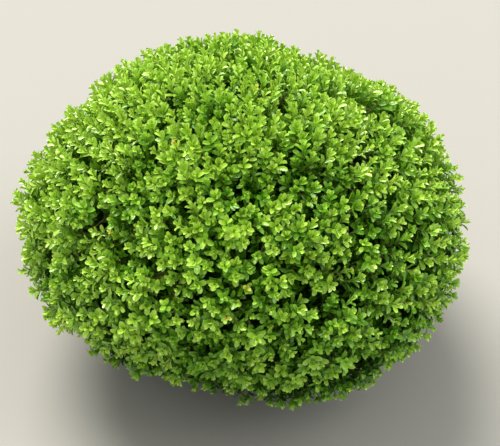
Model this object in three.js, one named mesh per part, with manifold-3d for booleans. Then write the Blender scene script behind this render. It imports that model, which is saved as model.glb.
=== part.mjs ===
// A clipped box ball that grows in the ground: a short main stem with a root flare, thirteen boughs that
// fan out from it, and thirteen masses of foliage, one to a bough, that together make the clipped ball.
// Each mass has a core of dense twigs and leaves, and leafy sprays that stand out of it to the clipped
// surface. The ball is hollow behind the masses and open underneath, as a clipped shrub is: only its
// outside has leaves. Millimetres, +Z up.
// The origin is the middle of the flat cut under the main stem, at ground level.

import * as THREE from "three";
import { mergeVertices } from "three/addons/utils/BufferGeometryUtils.js";
import Module from "manifold-3d";

const wasm = await Module();
wasm.setup();

// The clipped ball, measured to the tips of its leaves.
const crown = {
  halfWidth: 320,
  middle: 226, // height of its widest line
  top: 442,
  foot: 20, // nothing leafy comes lower than this
  underside: -63, // elevation at which the lowest masses end, and the open underside starts
};

// The shears left these swells and dips. Rise is the change in reach, spread the angle it fades over.
const swells = [
  { azimuth: -57, elevation: -19, spread: 40, rise: 23 },
  { azimuth: 50, elevation: 38, spread: 15, rise: -40 },
  { azimuth: 155, elevation: 25, spread: 11, rise: -22 },
  { azimuth: -97, elevation: -16, spread: 16, rise: -32 },
  { azimuth: -156, elevation: -2, spread: 17, rise: 16 },
  { azimuth: -100, elevation: 45, spread: 16, rise: -7 },
  { azimuth: 84, elevation: 50, spread: 18, rise: 4 },
];

const mainStem = {
  height: 120,
  footRadius: 15,
  tipRadius: 9,
  flare: 9, // added to the radius at ground level
  flareHeight: 15,
  roots: 5, // ridges where the roots leave
  ridge: 0.22, // their height, as a share of the radius
  lean: 7, // how far the tip stands off the foot
  sides: 15,
  heights: [0, 4, 9, 16, 26, 42, 65, 92, 120],
};

// Masses and their boughs come in three tiers. Angles are seen from the middle of the crown.
// Fork is the height at which a tier's first bough leaves the main stem, and radius the bough's radius there.
const tiers = [
  { name: "top", count: 1, elevation: 90, turn: 0, fork: 112, forkStep: 0, radius: 7.4 },
  { name: "upper", count: 5, elevation: 38, turn: 24, fork: 80, forkStep: 4, radius: 5.4 },
  { name: "lower", count: 7, elevation: -17, turn: -8, fork: 30, forkStep: 6, radius: 6 },
];
const wander = { azimuth: 9, elevation: 4 }; // how far a bough strays from its even place
const bough = {
  tipRadius: 3,
  leave: 40, // how far it keeps to the way in which it leaves the main stem
  leaveLift: 0.7, // how steep that way is: the rise for each step outwards
  bend: 60, // how far it keeps to the way in which it meets its mass
  lift: 0.28, // how much that way is turned up from the mass's axis
  sides: 6,
  rings: 6,
};

const core = {
  under: 50, // its outside lies this far inside the clipped surface
  thickness: 56,
  groove: 10, // it sinks this much more towards its rim
  stemShare: 0.74, // how far its stem runs back from its middle, as a share of the thickness
  innerShares: [0.3, 0.65, 0.98], // rings of its inner skin, as shares of the way to the next mass
  outerShares: [0.98, 0.8, 0.55, 0.28],
  step: 33, // about the most that its ring turns from one point to the next
  tooNear: 4, // a corner nearer than this to the next one isn't kept
};

const spray = {
  count: 100, // on the whole ball
  under: 88, // depth below the clipped surface at which its twig leaves the others
  gather: 0.16, // how far its foot is drawn from straight below its tip to the mass's axis
  unruly: 12, // the most that a foot strays to each side
  upward: 9, // how much lower than even a foot stands, which turns the spray to the light
  wallGap: 14, // its tip keeps this far from the space of the next mass
  rootRadius: 3.4,
  footRadius: 3,
  tipRadius: 1.7,
};
// The leaves of a spray: one that ends the twig, then pairs, each a quarter turn from the last.
// Below is measured from the twig's tip.
const leafPairs = [
  { leaves: 1, below: 4, length: 45, splay: 14 },
  { leaves: 2, below: 6, length: 54, splay: 46 },
  { leaves: 2, below: 14, length: 60, splay: 70 },
];
const shortened = [1, 0.7]; // a leaf that doesn't fit is tried again as a shorter one
const leaf = { widthShare: 0.56, thicknessShare: 0.06, shoulder: 0.07, cup: 0.06 };

const clearance = 0.3; // between pieces that meet
const cellClearance = 0.6; // between a leaf and the space of the next mass
const goldenAngle = Math.PI * (3 - Math.sqrt(5));
const weld = 1e-3;

const up = new THREE.Vector3(0, 0, 1);
const middle = new THREE.Vector3(0, 0, crown.middle);
const radians = THREE.MathUtils.degToRad;
const [endLeaf] = leafPairs;
const endLeafRise = endLeaf.length * Math.cos(radians(endLeaf.splay)) - endLeaf.below;

const bark = new THREE.MeshStandardMaterial({ color: 0x85725a, roughness: 0.9, metalness: 0 });
const foliage = new THREE.MeshStandardMaterial({ color: 0x5f872b, roughness: 0.45, metalness: 0 });

// A repeatable number from 0 to 1.
function chance(index, salt) {
  const value = Math.sin(index * 127.1 + salt * 311.7) * 43758.5453;
  return value - Math.floor(value);
}

function heading(azimuth, elevation) {
  const [a, e] = [radians(azimuth), radians(elevation)];
  return new THREE.Vector3(Math.cos(a) * Math.cos(e), Math.sin(a) * Math.cos(e), Math.sin(e));
}

// Half height of the clipped surface's ellipsoid, above its widest line or below it.
function halfHeight(rise) {
  return rise >= 0 ? crown.top - crown.middle : crown.middle;
}

// Distance from the crown's middle to the clipped surface: an ellipsoid with swells, cut level at its foot.
function reach(direction) {
  const across = Math.hypot(direction.x, direction.y) / crown.halfWidth;
  let distance = 1 / Math.hypot(across, direction.z / halfHeight(direction.z));
  for (const swell of swells) {
    const apart = direction.angleTo(heading(swell.azimuth, swell.elevation)) / radians(swell.spread);
    distance += swell.rise * Math.exp(-apart * apart);
  }
  const drop = crown.middle - crown.foot;
  return direction.z < 0 ? Math.min(distance, drop / -direction.z) : distance;
}

// The point in a direction from the crown's middle that lies this far below the clipped surface.
function surfacePoint(direction, depth) {
  return middle.clone().addScaledVector(direction, reach(direction) - depth);
}

// Points of a regular ring. The side vector says where its first point lies.
function ring(centre, axis, side, radius, sides) {
  const across = new THREE.Vector3().crossVectors(axis, side).normalize();
  return Array.from({ length: sides }, (_, k) => {
    const turn = (2 * Math.PI * k) / sides;
    return centre
      .clone()
      .addScaledVector(side, radius * Math.cos(turn))
      .addScaledVector(across, radius * Math.sin(turn));
  });
}

// A closed surface through rings of equal count, with a fan to a point at each end.
function loft(rings, startPoint, endPoint) {
  const sides = rings[0].length;
  const points = [...rings.flat(), startPoint, endPoint];
  const [start, end] = [points.length - 2, points.length - 1];
  const faces = [];
  for (let k = 0; k < sides; k++) {
    const next = (k + 1) % sides;
    faces.push(start, next, k);
    for (let r = 0; r + 1 < rings.length; r++) {
      const [low, high] = [r * sides, (r + 1) * sides];
      faces.push(low + k, low + next, high + next, low + k, high + next, high + k);
    }
    const last = (rings.length - 1) * sides;
    faces.push(end, last + k, last + next);
  }
  const geometry = new THREE.BufferGeometry().setFromPoints(points);
  return geometry.setIndex(faces);
}

// A round limb that tapers along its curve, its section carried on from ring to ring without a twist.
function limb(curve, radii, sides) {
  let side = null;
  const points = curve.getPoints(radii.length - 1);
  const rings = points.map((point, k) => {
    const axis = curve.getTangent(k / (radii.length - 1));
    side ??= new THREE.Vector3(axis.z, axis.x, axis.y);
    side = side.clone().addScaledVector(axis, -side.dot(axis)).normalize();
    return ring(point, axis, side, radii[k], sides);
  });
  return loft(rings, points[0], points.at(-1));
}

// A closed geometry as a solid to join and cut.
function solidOf(geometry) {
  const bare = geometry.clone();
  bare.deleteAttribute("normal");
  bare.deleteAttribute("uv");
  const merged = mergeVertices(bare, weld);
  return new wasm.Manifold(
    new wasm.Mesh({
      numProp: 3,
      vertProperties: merged.getAttribute("position").array,
      triVerts: new Uint32Array(merged.index.array),
    }),
  );
}

function meshOf(solid, name, material) {
  const { vertProperties, triVerts } = solid.getMesh();
  const geometry = new THREE.BufferGeometry();
  geometry.setAttribute("position", new THREE.BufferAttribute(new Float32Array(vertProperties), 3));
  geometry.setIndex(new THREE.BufferAttribute(new Uint32Array(triVerts), 1));
  geometry.computeVertexNormals();
  const mesh = new THREE.Mesh(geometry, material);
  mesh.name = name;
  return mesh;
}

// The middle of the main stem at a height: it leans a little more the higher it gets.
function stemCentre(height) {
  const share = height / mainStem.height;
  return new THREE.Vector3(mainStem.lean * share * share, 0, height);
}

// The main stem, from its flat cut to its flat tip. Grow makes it that much larger all round, for cutting.
function stemSolid(grow = 0) {
  const rings = mainStem.heights.map((height) => {
    const taper = THREE.MathUtils.lerp(
      mainStem.footRadius,
      mainStem.tipRadius,
      height / mainStem.height,
    );
    const fade = Math.exp(-height / mainStem.flareHeight);
    const atTip = height === mainStem.height;
    const atFoot = height === 0;
    return Array.from({ length: mainStem.sides }, (_, k) => {
      const turn = (2 * Math.PI * k) / mainStem.sides;
      const ridges = 1 + mainStem.ridge * fade * Math.cos(mainStem.roots * turn);
      const radius = (taper + mainStem.flare * fade) * ridges + grow;
      const point = stemCentre(height);
      point.x += radius * Math.cos(turn);
      point.y += radius * Math.sin(turn);
      point.z += (atTip ? grow : 0) - (atFoot ? grow : 0);
      return point;
    });
  });
  const foot = new THREE.Vector3(0, 0, -grow);
  const tip = stemCentre(mainStem.height).add(new THREE.Vector3(0, 0, grow));
  return solidOf(loft(rings, foot, tip));
}

// Where each mass stands: its axis from the crown's middle, the walls of its space, which are planes through
// that middle, its heart, its stem's root, and the height at which its bough leaves the main stem.
function planMasses() {
  const masses = [];
  for (const tier of tiers) {
    for (let k = 0; k < tier.count; k++) {
      const seed = masses.length + 1;
      const strays = tier.count > 1 ? 1 : 0;
      const azimuth =
        tier.turn + (360 * k) / tier.count + strays * wander.azimuth * (2 * chance(seed, 1) - 1);
      const elevation = tier.elevation + strays * wander.elevation * (2 * chance(seed, 2) - 1);
      masses.push({
        seed,
        tier,
        name: tier.count > 1 ? `${tier.name}_${k + 1}` : tier.name,
        axis: heading(azimuth, elevation),
        fork: tier.fork + ((k * 3) % tier.count) * tier.forkStep,
      });
    }
  }
  for (const mass of masses) {
    const others = masses.filter((other) => other !== mass);
    const outward = mass.axis.clone().setZ(0).normalize();
    const slope = radians(-crown.underside);
    const lean = mass.tier.count > 1 ? Math.sin(slope) : 0; // the top mass ends level all round
    const floor = outward.multiplyScalar(lean).addScaledVector(up, Math.cos(slope));
    mass.walls = others.map((other) => mass.axis.clone().sub(other.axis).normalize());
    mass.walls.push(floor.normalize());
    mass.side = new THREE.Vector3(mass.axis.z, mass.axis.x, mass.axis.y).cross(mass.axis).normalize();
    mass.across = new THREE.Vector3().crossVectors(mass.axis, mass.side);
    mass.heart = surfacePoint(mass.axis, core.under + core.thickness / 2);
    mass.rise = mass.axis.clone().addScaledVector(up, bough.lift).normalize();
    mass.root = mass.heart.clone().addScaledVector(mass.rise, -core.thickness * core.stemShare);
  }
  return masses;
}

// A direction inside a mass's space: turn goes round its axis, share from the axis to the next mass's wall.
function cellHeading(mass, turn, share) {
  const sideways = mass.side
    .clone()
    .multiplyScalar(Math.cos(turn))
    .addScaledVector(mass.across, Math.sin(turn));
  const wallAngles = mass.walls
    .filter((wall) => wall.dot(sideways) < 0)
    .map((wall) => Math.atan2(wall.dot(mass.axis), -wall.dot(sideways)));
  const angle = share * Math.min(...wallAngles);
  return mass.axis.clone().multiplyScalar(Math.cos(angle)).addScaledVector(sideways, Math.sin(angle));
}

// Headings spread evenly over the clipped surface, in golden-angle order from the top down.
function evenHeadings(count) {
  const flatness = crown.halfWidth / (crown.top - crown.middle) - 1;
  return Array.from({ length: count }, (_, k) => {
    const level = 1 - (2 * k + 1) / count;
    const sine = (level * (1 + flatness / 3)) / (1 + (flatness / 3) * level ** 2);
    const flat = crown.halfWidth * Math.sqrt(1 - sine ** 2);
    const turn = k * goldenAngle;
    const tall = sine * halfHeight(level);
    return new THREE.Vector3(flat * Math.cos(turn), flat * Math.sin(turn), tall).normalize();
  });
}

// Gives each spray to the mass in whose space it stands, and moves it a little off the walls of that space.
function dealSprays(masses) {
  for (const mass of masses) mass.sprays = [];
  evenHeadings(spray.count).forEach((direction, seed) => {
    const mass = masses.find((each) => each.walls.every((wall) => wall.dot(direction) > 0));
    if (!mass) return;
    const offset = surfacePoint(direction, 0).sub(middle);
    for (const wall of mass.walls) {
      offset.addScaledVector(wall, Math.max(0, spray.wallGap - wall.dot(offset)));
    }
    mass.sprays.push({ seed, direction: offset.normalize() });
  });
}

// The turns round a mass's axis at which its space has its corners, with even steps between them.
function rimTurns(mass) {
  const corners = [];
  for (const wall of mass.walls) {
    for (const other of mass.walls) {
      const edge = new THREE.Vector3().crossVectors(wall, other).normalize();
      const isCorner = wall !== other && mass.walls.every((each) => each.dot(edge) > -weld);
      if (isCorner) corners.push(Math.atan2(edge.dot(mass.across), edge.dot(mass.side)));
    }
  }
  corners.sort((a, b) => a - b);
  return corners.flatMap((corner, k) => {
    const next = corners[k + 1] ?? corners[0] + 2 * Math.PI;
    const steps = Math.ceil((next - corner - radians(core.tooNear)) / radians(core.step));
    return Array.from({ length: steps }, (_, n) => corner + ((next - corner) * n) / steps);
  });
}

// True where a point is clear of the space of every other mass, and off the ground.
function inOwnSpace(mass, point) {
  const offset = point.clone().sub(middle);
  return point.z > crown.foot && mass.walls.every((wall) => wall.dot(offset) > cellClearance);
}

// The dense heart of a mass: a pillow between an outer and an inner skin, both carried round its axis.
function coreSolid(mass) {
  const turns = rimTurns(mass);
  const skin = (share, depth, groove) =>
    turns.map((turn) => surfacePoint(cellHeading(mass, turn, share), depth + groove * share ** 4));
  const inside = core.under + core.thickness;
  const innerRings = core.innerShares.map((share) => skin(share, inside, -core.groove));
  const outerRings = core.outerShares.map((share) => skin(share, core.under, core.groove));
  const [innerTip, outerTip] = [inside, core.under].map((depth) => surfacePoint(mass.axis, depth));
  return solidOf(loft([...innerRings, ...outerRings], innerTip, outerTip));
}

// One leaf, a flat octahedron: its root at the origin, its length along +Y and its upper face to +Z.
function leafGeometry(length) {
  const geometry = new THREE.OctahedronGeometry(1);
  const place = geometry.getAttribute("position");
  for (let k = 0; k < place.count; k++) {
    const [x, y, z] = [place.getX(k), place.getY(k), place.getZ(k)];
    const edge = Math.abs(x);
    place.setXYZ(
      k,
      (x * length * leaf.widthShare) / 2,
      length * ((y + 1) / 2 + leaf.shoulder * edge),
      length * ((z * leaf.thicknessShare) / 2 + leaf.cup * edge),
    );
  }
  return geometry;
}

// True where a convex piece keeps to its mass's own space and clear of the boughs.
function fits(geometry, mass, boughRoom) {
  const place = geometry.getAttribute("position");
  for (let k = 0; k < place.count; k++) {
    if (!inOwnSpace(mass, new THREE.Vector3().fromBufferAttribute(place, k))) return false;
  }
  return solidOf(geometry).intersect(boughRoom).isEmpty();
}

// The leaves of one spray, in crossed pairs down its twig.
// A leaf that would leave the mass's space or touch a bough is skipped.
function sprayLeaves(mass, tip, growth, spin, boughRoom) {
  const side = new THREE.Vector3(growth.z, growth.x, growth.y).cross(growth).normalize();
  const leaves = [];
  leafPairs.forEach((pair, p) => {
    const splay = radians(pair.splay);
    for (let k = 0; k < pair.leaves; k++) {
      const outward = side.clone().applyAxisAngle(growth, spin + k * Math.PI + (p * Math.PI) / 2);
      const along = growth
        .clone()
        .multiplyScalar(Math.cos(splay))
        .addScaledVector(outward, Math.sin(splay));
      const facing = growth
        .clone()
        .multiplyScalar(Math.sin(splay))
        .addScaledVector(outward, -Math.cos(splay));
      const across = new THREE.Vector3().crossVectors(along, facing);
      const place = new THREE.Matrix4().makeBasis(across, along, facing);
      place.setPosition(tip.clone().addScaledVector(growth, -pair.below));
      const sizes = shortened.map((share) => leafGeometry(pair.length * share).applyMatrix4(place));
      const fitting = sizes.find((geometry) => fits(geometry, mass, boughRoom));
      if (fitting) leaves.push(solidOf(fitting));
    }
  });
  return leaves;
}

// One mass of foliage: a stem that carries on from its bough, twigs that fork from the stem's tip, a leafy
// spray on each, and the core that they stand out of.
function massSolid(mass, boughRoom) {
  const heartRadius = bough.tipRadius * 0.8;
  const way = new THREE.LineCurve3(mass.root, mass.heart);
  const stem = limb(way, [bough.tipRadius, heartRadius], bough.sides);
  const pieces = [solidOf(stem)];
  for (const { seed, direction } of mass.sprays) {
    const surface = surfacePoint(direction, 0);
    const foot = surfacePoint(direction, spray.under).lerp(mass.heart, spray.gather);
    foot.addScaledVector(mass.side, spray.unruly * (2 * chance(seed, 3) - 1));
    foot.addScaledVector(mass.across, spray.unruly * (2 * chance(seed, 4) - 1));
    foot.z -= spray.upward;
    const growth = surface.clone().sub(foot).normalize();
    const tip = surface.addScaledVector(growth, -endLeafRise);
    const twig = [
      limb(new THREE.LineCurve3(mass.heart, foot), [spray.rootRadius, spray.footRadius], 3),
      limb(new THREE.LineCurve3(foot, tip), [spray.footRadius, spray.tipRadius], 3),
    ];
    if (!twig.every((stretch) => fits(stretch, mass, boughRoom))) continue;
    const leaves = sprayLeaves(mass, tip, growth, 2 * Math.PI * chance(seed, 5), boughRoom);
    pieces.push(...twig.map(solidOf), ...leaves);
  }
  return pieces.reduce((whole, piece) => whole.add(piece), coreSolid(mass).subtract(boughRoom));
}

// One tapering bough, from the main stem in an upward bow to the root of its mass.
// Grow makes it that much larger all round, for keeping leaves clear of it.
function boughSolid(mass, stemRoom, grow = 0) {
  const tip = mass.root.clone().addScaledVector(mass.rise, -clearance);
  const start = stemCentre(mass.fork);
  const outward = mass.axis.clone().setZ(0).addScaledVector(up, bough.leaveLift).normalize();
  const leave = start.clone().addScaledVector(outward, bough.leave);
  const bend = tip.clone().addScaledVector(mass.rise, -bough.bend);
  const radii = Array.from({ length: bough.rings }, (_, k) =>
    THREE.MathUtils.lerp(mass.tier.radius, bough.tipRadius, k / (bough.rings - 1)) + grow,
  );
  const curve = new THREE.CubicBezierCurve3(start, leave, bend, tip);
  return solidOf(limb(curve, radii, bough.sides)).subtract(stemRoom);
}

const plant = new THREE.Group();
plant.name = "box_ball";
const masses = planMasses();
dealSprays(masses);
const stemRoom = stemSolid(clearance);
plant.add(meshOf(stemSolid(), "main_stem", bark));
for (const mass of masses) {
  plant.add(meshOf(boughSolid(mass, stemRoom), `bough_${mass.name}`, bark));
}
const boughRoom = masses
  .map((mass) => boughSolid(mass, stemRoom, clearance))
  .reduce((whole, solid) => whole.add(solid));
for (const mass of masses) {
  plant.add(meshOf(massSolid(mass, boughRoom), `foliage_${mass.name}`, foliage));
}

export default plant;
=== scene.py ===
import bpy
import numpy as np
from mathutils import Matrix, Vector


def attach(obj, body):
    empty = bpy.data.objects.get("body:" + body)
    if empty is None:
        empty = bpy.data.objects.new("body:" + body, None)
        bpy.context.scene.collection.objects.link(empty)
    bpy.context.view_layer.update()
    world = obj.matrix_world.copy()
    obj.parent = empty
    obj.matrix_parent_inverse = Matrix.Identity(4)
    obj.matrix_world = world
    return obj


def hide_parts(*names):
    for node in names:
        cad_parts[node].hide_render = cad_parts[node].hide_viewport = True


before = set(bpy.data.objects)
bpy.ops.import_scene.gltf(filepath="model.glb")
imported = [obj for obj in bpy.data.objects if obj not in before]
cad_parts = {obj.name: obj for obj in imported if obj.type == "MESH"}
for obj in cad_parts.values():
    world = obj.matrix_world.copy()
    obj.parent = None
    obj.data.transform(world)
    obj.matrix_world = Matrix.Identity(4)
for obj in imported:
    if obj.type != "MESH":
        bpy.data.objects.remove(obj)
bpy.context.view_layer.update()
print("frame loaded:", len(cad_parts), "nodes")

# The clipped ball, measured to the tips of its leaves.
crown = {
    "halfWidth": 0.320,
    "middle": 0.226,  # height of its widest line
    "top": 0.442,
    "foot": 0.020,  # nothing leafy comes lower
    "underside": -63.0,  # elevation at which the open underside starts, in degrees
}


def named(keys, rows):
    # A dictionary for each row, with these keys.
    return [dict(zip(keys, row)) for row in rows]


# What the shears left, in degrees, and the change in reach.
swells = named(("azimuth", "elevation", "spread", "rise"), [
    (-57, -19, 40, 0.023), (50, 38, 15, -0.040), (155, 25, 11, -0.022), (-97, -16, 16, -0.032),
    (-156, -2, 17, 0.016), (-100, 45, 16, -0.007), (84, 50, 18, 0.004),
])

# Masses of foliage and their boughs, in three tiers. Fork is the height of a tier's first bough on the
# stem. Each next one leaves it stride steps higher, counted round the tier.
tiers = named(("name", "count", "elevation", "turn", "fork", "step", "radius"), [
    ("top", 1, 90, 0, 0.112, 0.0, 0.0074),
    ("upper", 5, 38, 24, 0.080, 0.004, 0.0054),
    ("lower", 7, -17, -8, 0.030, 0.006, 0.006),
])
stride = 3
wander = {"azimuth": 9, "elevation": 4}  # how far a bough strays from its even place, in degrees
goldenAngle = np.pi * (3 - np.sqrt(5))
up = np.array([0.0, 0.0, 1.0])
middle = np.array([0.0, 0.0, crown["middle"]])
tiny = 1e-12  # keeps a division from one by zero

# Seeded numbers: how fast their sine runs through index and salt, and the multiple taken of it.
seeding = {"index": 127.1, "salt": 311.7, "multiple": 43758.5453}


def unit(vectors):
    # Each vector divided by its own length, and left at zero where it has none.
    return vectors / np.maximum(np.linalg.norm(vectors, axis=-1, keepdims=True), tiny)


def dot(a, b):
    # The sum of products along the last axis, which is kept.
    return np.sum(a * b, axis=-1, keepdims=True)


def chance(index, salt):
    # The part after the point of a large multiple of a sine: from 0 to 1, the same on every run.
    angle = np.asarray(index) * seeding["index"] + salt * seeding["salt"]
    value = np.sin(angle) * seeding["multiple"]
    return value - np.floor(value)


def stray(index, salt):
    # Chance moved to run from -1 to 1, as a column to multiply vectors with.
    return (2 * chance(index, salt) - 1)[..., None]


def strayVector(index, salt):
    # Three strays side by side, from this salt and the next two.
    return np.concatenate([stray(index, salt + k) for k in range(3)], axis=1)


def between(limits, index, salt):
    # Chance moved to run from the first limit to the second.
    return limits[0] + (limits[1] - limits[0]) * chance(index, salt)


def heading(azimuth, elevation):
    # The unit vector with these two angles, in degrees.
    a, e = np.radians(azimuth), np.radians(elevation)
    return np.stack([np.cos(a) * np.cos(e), np.sin(a) * np.cos(e), np.sin(e) + 0 * a], -1)


def halfHeight(rise):
    # Half height of the ball's ellipsoid above its widest line, or below it.
    return np.where(rise >= 0, crown["top"] - crown["middle"], crown["middle"])


def nearSpot(direction, spot):
    # How much a round spot counts in each direction: exp(-(angle from the spot / its spread) squared).
    cosine = direction @ heading(spot["azimuth"], spot["elevation"])
    apart = np.degrees(np.arccos(np.clip(cosine, -1, 1))) / spot["spread"]
    return np.exp(-apart**2)


def reach(direction):
    # Ellipsoid radius: one over the length of (across / half width, rise / half height). Each swell adds
    # its rise where it counts, and the whole is cut level at the foot.
    across = np.hypot(direction[..., 0], direction[..., 1]) / crown["halfWidth"]
    rise = direction[..., 2]
    distance = 1 / np.hypot(across, rise / halfHeight(rise))
    for swell in swells:
        distance = distance + swell["rise"] * nearSpot(direction, swell)
    level = (crown["middle"] - crown["foot"]) / np.maximum(-rise, tiny)
    return np.where(rise < 0, np.minimum(distance, level), distance)


def surfacePoint(direction, depth):
    # The point in a direction from the middle that lies this far inside the clipped surface.
    return middle + direction * (reach(direction) - depth)[..., None]


def outwardNormal(direction):
    # The ellipsoid's normal: each part of the direction over the square of its half axis.
    flat = crown["halfWidth"] ** 2
    tall = halfHeight(direction[..., 2]) ** 2
    return unit(direction / np.stack([flat + 0 * tall, flat + 0 * tall, tall], -1))


def evenHeadings(count, turned=0.0):
    # Golden-angle order: heading k turns by k golden angles, and its sine falls in even steps from the top,
    # bent to spread them evenly over the flattened ball.
    order = np.arange(count)
    level = 1 - (2 * order + 1) / count
    flatness = (crown["halfWidth"] / (crown["top"] - crown["middle"]) - 1) / 3
    sine = level * (1 + flatness) / (1 + flatness * level**2)
    flat = crown["halfWidth"] * np.sqrt(1 - sine**2)
    turn = order * goldenAngle + turned
    return unit(np.stack([flat * np.cos(turn), flat * np.sin(turn), sine * halfHeight(level)], -1))


# The dense heart of each mass, and how its bough comes to it.
massShape = {"under": 0.050, "thickness": 0.056, "stemShare": 0.74, "lift": 0.28}


def planMasses():
    # Axis: the tier's even azimuth and elevation plus a seeded stray. Heart: on the axis, in the middle of
    # the dense layer. Root: back from the heart along the axis turned up.
    rows = [(tier, k) for tier in tiers for k in range(tier["count"])]
    own = {key: np.array([tier[key] for tier, k in rows]) for key in tiers[0]}
    order = np.array([k for tier, k in rows])
    seed = np.arange(len(rows)) + 1
    strays = (own["count"] > 1).astype(float)
    azimuth = own["turn"] + 360 * order / own["count"] + strays * wander["azimuth"] * stray(seed, 1)[:, 0]
    elevation = own["elevation"] + strays * wander["elevation"] * stray(seed, 2)[:, 0]
    axis = heading(azimuth, elevation)
    # The top mass ends level all round, so its floor wall doesn't lean.
    outward = unit(axis * [1, 1, 0]) * strays[:, None]
    slope = np.radians(-crown["underside"])
    side = unit(np.cross(axis[:, [2, 0, 1]], axis))
    heart = surfacePoint(axis, massShape["under"] + massShape["thickness"] / 2)
    rise = unit(axis + up * massShape["lift"])
    return {
        "tier": own["name"],
        "name": [f"{tier['name']}_{k + 1}" if tier["count"] > 1 else tier["name"] for tier, k in rows],
        "radius": own["radius"], "fork": own["fork"] + (order * stride) % own["count"] * own["step"],
        "axis": axis, "floor": unit(outward * np.sin(slope) + up * np.cos(slope)),
        "side": side, "across": np.cross(axis, side), "heart": heart, "rise": rise,
        "root": heart - rise * massShape["thickness"] * massShape["stemShare"],
    }


def onMasses(seed, direction):
    # The seeds and directions above the open underside, and the mass whose axis lies nearest to each.
    mass = np.argmax(direction @ masses["axis"].T, axis=1)
    inside = dot(direction, masses["floor"][mass])[:, 0] > 0
    return seed[inside], direction[inside], mass[inside]


# A clump is one branch of a mass with all the sprigs on it.
clumpShape = {
    "count": 100,
    "under": 0.088,  # depth at which its branch bends out
    "gather": 0.16, "unruly": 0.012, "upward": 0.009, "wallGap": 0.014,
    "tipUnder": 0.0397,  # depth at which the branch itself ends
}


def planClumps():
    # Even headings, each moved off the walls between its own mass and the others. The branch runs from the
    # mass's heart by its foot, which strays a little, to its tip, in line with the surface point above it.
    seed = np.arange(clumpShape["count"])
    seed, direction, mass = onMasses(seed, evenHeadings(clumpShape["count"]))
    offset = surfacePoint(direction, 0) - middle
    own = masses["axis"][mass]
    for other, axis in enumerate(masses["axis"]):
        wall = unit(own - axis) * (mass != other)[:, None]
        offset = offset + wall * np.maximum(0, clumpShape["wallGap"] - dot(wall, offset))
    floor = masses["floor"][mass]
    offset = offset + floor * np.maximum(0, clumpShape["wallGap"] - dot(floor, offset))
    direction = unit(offset)
    surface = surfacePoint(direction, 0)
    foot = surfacePoint(direction, clumpShape["under"])
    foot = foot + (masses["heart"][mass] - foot) * clumpShape["gather"]
    foot = foot + masses["side"][mass] * clumpShape["unruly"] * stray(seed, 3)
    foot = foot + masses["across"][mass] * clumpShape["unruly"] * stray(seed, 4)
    foot = foot - up * clumpShape["upward"]
    growth = unit(surface - foot)
    tip = surface - growth * clumpShape["tipUnder"]
    return {"mass": mass, "surface": surface, "foot": foot, "tip": tip}


masses = planMasses()
clumps = planClumps()
print("rule laid out:", len(masses["name"]), "masses,", len(clumps["mass"]), "clumps")


def bezier(controls, share):
    # De Casteljau: neighbouring control points are mixed by the share until one point is left. The last
    # step's difference is the tangent. Controls are (n, 3), share is (n, k), and both results are (n, k, 3).
    level = [np.broadcast_to(c[:, None, :], (len(c), share.shape[1], 3)) for c in controls]
    t = share[..., None]
    while len(level) > 2:
        level = [a + (b - a) * t for a, b in zip(level, level[1:])]
    return level[0] + (level[1] - level[0]) * t, unit(level[1] - level[0])


steep = 0.8  # a tube that starts steeper than this has its rings laid out from X instead of Z


def tubes(points, tangents, radii, sides, relief=None):
    # Closed round tubes: ring j of tube i is its point plus its radius times the cosine and sine of the turn
    # along two vectors across its tangent. Relief multiplies the radius by ring and side. Each end has a fan.
    count, rings = points.shape[:2]
    leaning = np.where(np.abs(tangents[:, :1, 2:]) < steep, up, [1.0, 0.0, 0.0])
    across = unit(np.cross(tangents, leaning))
    other = np.cross(tangents, across)
    turn = np.arange(sides) * 2 * np.pi / sides
    swelling = np.ones((count, rings, sides)) if relief is None else relief
    radius = (radii[:, :, None] * swelling)[..., None]
    circle = across[:, :, None] * np.cos(turn)[:, None] + other[:, :, None] * np.sin(turn)[:, None]
    body = (points[:, :, None] + circle * radius).reshape(count, -1, 3)
    vertices = np.concatenate([body, points[:, :1], points[:, -1:]], axis=1)
    ring = np.arange(rings - 1)[:, None] * sides
    here = np.arange(sides)[None, :]
    after = (here + 1) % sides
    a, b, c, d = ring + here, ring + after, ring + sides + after, ring + sides + here
    walls = np.concatenate([np.stack([a, b, c], -1).reshape(-1, 3), np.stack([a, c, d], -1).reshape(-1, 3)])
    start, end, last = rings * sides, rings * sides + 1, (rings - 1) * sides
    first = np.stack([after[0], here[0], here[0] * 0 + start], -1)
    closing = np.stack([last + here[0], last + after[0], here[0] * 0 + end], -1)
    faces = np.concatenate([walls, first, closing])
    return gather(vertices, faces)


def gather(vertices, faces):
    # Many copies of one mesh as one: copy i's corners are counted on from i times its vertices.
    count, size = vertices.shape[:2]
    stepped = faces[None] + (np.arange(count) * size)[:, None, None]
    return vertices.reshape(-1, 3), stepped.reshape(-1, 3)


def joinParts(parts):
    # Several meshes as one: each one's corners are counted on from the vertices before it.
    starts = np.cumsum([0] + [len(part[0]) for part in parts])
    vertices = np.concatenate([part[0] for part in parts])
    return vertices, np.concatenate([part[1] + start for part, start in zip(parts, starts)])


def addObject(name, data):
    # A new object in the scene.
    thing = bpy.data.objects.new(name, data)
    bpy.context.scene.collection.objects.link(thing)
    return thing


# The slot of each kind of piece, and the angle between faces from which their edge is sharp, in degrees.
pieceKinds = {
    "bark": {"slot": "bark", "sharpFrom": 50},
    "twigs": {"slot": "bark", "sharpFrom": 60},
    "leaves": {"slot": "foliage", "sharpFrom": 75},
}


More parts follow.
